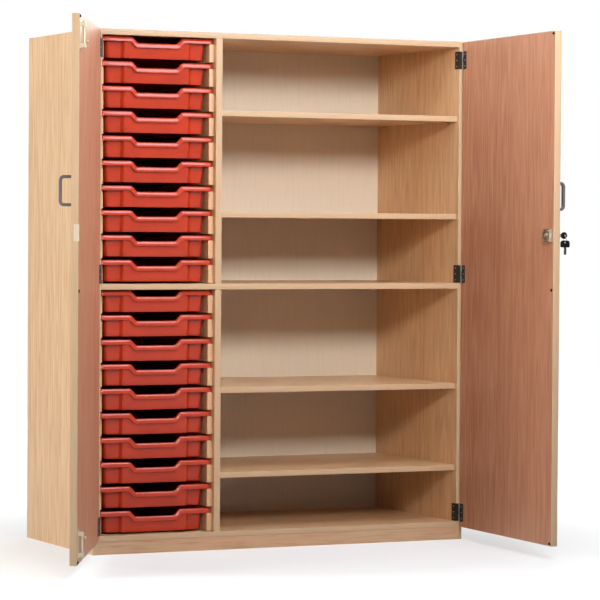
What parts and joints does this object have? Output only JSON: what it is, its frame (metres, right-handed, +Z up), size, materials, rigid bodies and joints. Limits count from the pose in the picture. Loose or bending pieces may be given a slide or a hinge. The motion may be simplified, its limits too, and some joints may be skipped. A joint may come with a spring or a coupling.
{
  "type": "tray storage cupboard",
  "caption": "Freestanding two-door storage cupboard with a bay of slide-out moulded trays on one side and adjustable shelves on the other, with hinged doors, bolts and a key lock",
  "frame": {"origin": "on the floor, at the middle of the front plinth's underside", "axes": "+Z up, front toward -Y, +X to the right when facing the front; the tray bay is on the left"},
  "size_m": [1.3473, 1.0164, 1.336],
  "materials": {
    "beech_board": "satin beech-effect melamine",
    "beech_back": "pale beech-effect board",
    "beech_batten": "lacquered beech",
    "beech_edging": "beech-effect edging",
    "black_steel": "satin black",
    "zinc_steel": "zinc plated",
    "grey_handle": "satin",
    "buffer_rubber": "matt",
    "lock_nickel": "nickel plated",
    "key_black": "matt",
    "red_tray": "moulded gloss"
  },
  "bodies": {
    "carcass": {"left_side_panel": "beech_board", "right_side_panel": "beech_board", "top_panel": "beech_board", "base_panel": "beech_board", "fixed_shelf": "beech_board", "upper_divider": "beech_board", "lower_divider": "beech_board", "back_panel": "beech_back", "front_plinth": "beech_board", "carcass_edging": "beech_edging", "adjustable_shelf_1": "beech_board", "adjustable_shelf_2": "beech_board", "adjustable_shelf_3": "beech_board", "adjustable_shelf_4": "beech_board", "shelf_pins": "zinc_steel", "tray_runners": "beech_batten", "carcass_hinge_leaves": "black_steel", "hinge_pins": "black_steel"},
    "left_door": {"left_door_panel": "beech_board", "left_door_edging": "beech_edging", "left_hinge_leaves": "black_steel", "left_handle": "grey_handle", "left_buffers": "buffer_rubber", "strike_plate": "zinc_steel", "bolt_plates": "zinc_steel"},
    "right_door": {"right_door_panel": "beech_board", "right_door_edging": "beech_edging", "right_hinge_leaves": "black_steel", "right_handle": "grey_handle", "right_buffers": "buffer_rubber", "lock_case": "lock_nickel"},
    "top_bolt": {"top_bolt_rod": "zinc_steel"},
    "bottom_bolt": {"bottom_bolt_rod": "zinc_steel"},
    "key_and_plug": {"lock_plug": "lock_nickel", "key": "key_black"},
    "lock_bolt_bar": {"lock_bolt": "zinc_steel"},
    "hanging_key": {"spare_key": "key_black", "key_ring": "zinc_steel"},
    "tray_01_body": {"tray_01": "red_tray"},
    "tray_02_body": {"tray_02": "red_tray"},
    "tray_03_body": {"tray_03": "red_tray"},
    "tray_04_body": {"tray_04": "red_tray"},
    "tray_05_body": {"tray_05": "red_tray"},
    "tray_06_body": {"tray_06": "red_tray"},
    "tray_07_body": {"tray_07": "red_tray"},
    "tray_08_body": {"tray_08": "red_tray"},
    "tray_09_body": {"tray_09": "red_tray"},
    "tray_10_body": {"tray_10": "red_tray"},
    "tray_11_body": {"tray_11": "red_tray"},
    "tray_12_body": {"tray_12": "red_tray"},
    "tray_13_body": {"tray_13": "red_tray"},
    "tray_14_body": {"tray_14": "red_tray"},
    "tray_15_body": {"tray_15": "red_tray"},
    "tray_16_body": {"tray_16": "red_tray"},
    "tray_17_body": {"tray_17": "red_tray"},
    "tray_18_body": {"tray_18": "red_tray"},
    "tray_19_body": {"tray_19": "red_tray"},
    "tray_20_body": {"tray_20": "red_tray"}
  },
  "joints": [
    {"name": "left_door_hinge", "type": "hinge", "parent": "carcass", "child": "left_door", "pos_m": [-0.5285, -0.0165, 0.668], "axis": [0, 0, -1], "range_deg": [-117.3, 2.7]},
    {"name": "right_door_hinge", "type": "hinge", "parent": "carcass", "child": "right_door", "pos_m": [0.5285, -0.0165, 0.668], "axis": [0, 0, 1], "range_deg": [-87, 33]},
    {"name": "top_bolt_slide", "type": "slide", "parent": "left_door", "child": "top_bolt", "axis": [0, 0, 1], "range_m": [0, 0.012]},
    {"name": "bottom_bolt_slide", "type": "slide", "parent": "left_door", "child": "bottom_bolt", "axis": [0, 0, -1], "range_m": [0, 0.012]},
    {"name": "key_turn", "type": "hinge", "parent": "right_door", "child": "key_and_plug", "pos_m": [0.52102, -0.5223, 0.8195], "axis": [0.9986, -0.0523, 0], "range_deg": [0, 90]},
    {"name": "lock_bolt_slide", "type": "slide", "parent": "right_door", "child": "lock_bolt_bar", "axis": [-0.0523, -0.9986, 0], "range_m": [0, 0.0151]},
    {"name": "spare_key_swing", "type": "hinge", "parent": "key_and_plug", "child": "hanging_key", "pos_m": [0.53999, -0.5233, 0.8175], "axis": [0.0523, 0.9986, 0], "range_deg": [-15, 15]},
    {"name": "tray_01_slide", "type": "slide", "parent": "carcass", "child": "tray_01_body", "axis": [0, -1, 0], "range_m": [0, 0.3]},
    {"name": "tray_02_slide", "type": "slide", "parent": "carcass", "child": "tray_02_body", "axis": [0, -1, 0], "range_m": [0, 0.3]},
    {"name": "tray_03_slide", "type": "slide", "parent": "carcass", "child": "tray_03_body", "axis": [0, -1, 0], "range_m": [0, 0.3]},
    {"name": "tray_04_slide", "type": "slide", "parent": "carcass", "child": "tray_04_body", "axis": [0, -1, 0], "range_m": [0, 0.3]},
    {"name": "tray_05_slide", "type": "slide", "parent": "carcass", "child": "tray_05_body", "axis": [0, -1, 0], "range_m": [0, 0.3]},
    {"name": "tray_06_slide", "type": "slide", "parent": "carcass", "child": "tray_06_body", "axis": [0, -1, 0], "range_m": [0, 0.3]},
    {"name": "tray_07_slide", "type": "slide", "parent": "carcass", "child": "tray_07_body", "axis": [0, -1, 0], "range_m": [0, 0.3]},
    {"name": "tray_08_slide", "type": "slide", "parent": "carcass", "child": "tray_08_body", "axis": [0, -1, 0], "range_m": [0, 0.3]},
    {"name": "tray_09_slide", "type": "slide", "parent": "carcass", "child": "tray_09_body", "axis": [0, -1, 0], "range_m": [0, 0.3]},
    {"name": "tray_10_slide", "type": "slide", "parent": "carcass", "child": "tray_10_body", "axis": [0, -1, 0], "range_m": [0, 0.3]},
    {"name": "tray_11_slide", "type": "slide", "parent": "carcass", "child": "tray_11_body", "axis": [0, -1, 0], "range_m": [0, 0.3]},
    {"name": "tray_12_slide", "type": "slide", "parent": "carcass", "child": "tray_12_body", "axis": [0, -1, 0], "range_m": [0, 0.3]},
    {"name": "tray_13_slide", "type": "slide", "parent": "carcass", "child": "tray_13_body", "axis": [0, -1, 0], "range_m": [0, 0.3]},
    {"name": "tray_14_slide", "type": "slide", "parent": "carcass", "child": "tray_14_body", "axis": [0, -1, 0], "range_m": [0, 0.3]},
    {"name": "tray_15_slide", "type": "slide", "parent": "carcass", "child": "tray_15_body", "axis": [0, -1, 0], "range_m": [0, 0.3]},
    {"name": "tray_16_slide", "type": "slide", "parent": "carcass", "child": "tray_16_body", "axis": [0, -1, 0], "range_m": [0, 0.3]},
    {"name": "tray_17_slide", "type": "slide", "parent": "carcass", "child": "tray_17_body", "axis": [0, -1, 0], "range_m": [0, 0.3]},
    {"name": "tray_18_slide", "type": "slide", "parent": "carcass", "child": "tray_18_body", "axis": [0, -1, 0], "range_m": [0, 0.3]},
    {"name": "tray_19_slide", "type": "slide", "parent": "carcass", "child": "tray_19_body", "axis": [0, -1, 0], "range_m": [0, 0.3]},
    {"name": "tray_20_slide", "type": "slide", "parent": "carcass", "child": "tray_20_body", "axis": [0, -1, 0], "range_m": [0, 0.3]}
  ],
  "couplings": [
    {"joint": "lock_bolt_slide", "follows": "key_turn", "m_per_rad": 0.0095493}
  ]
}
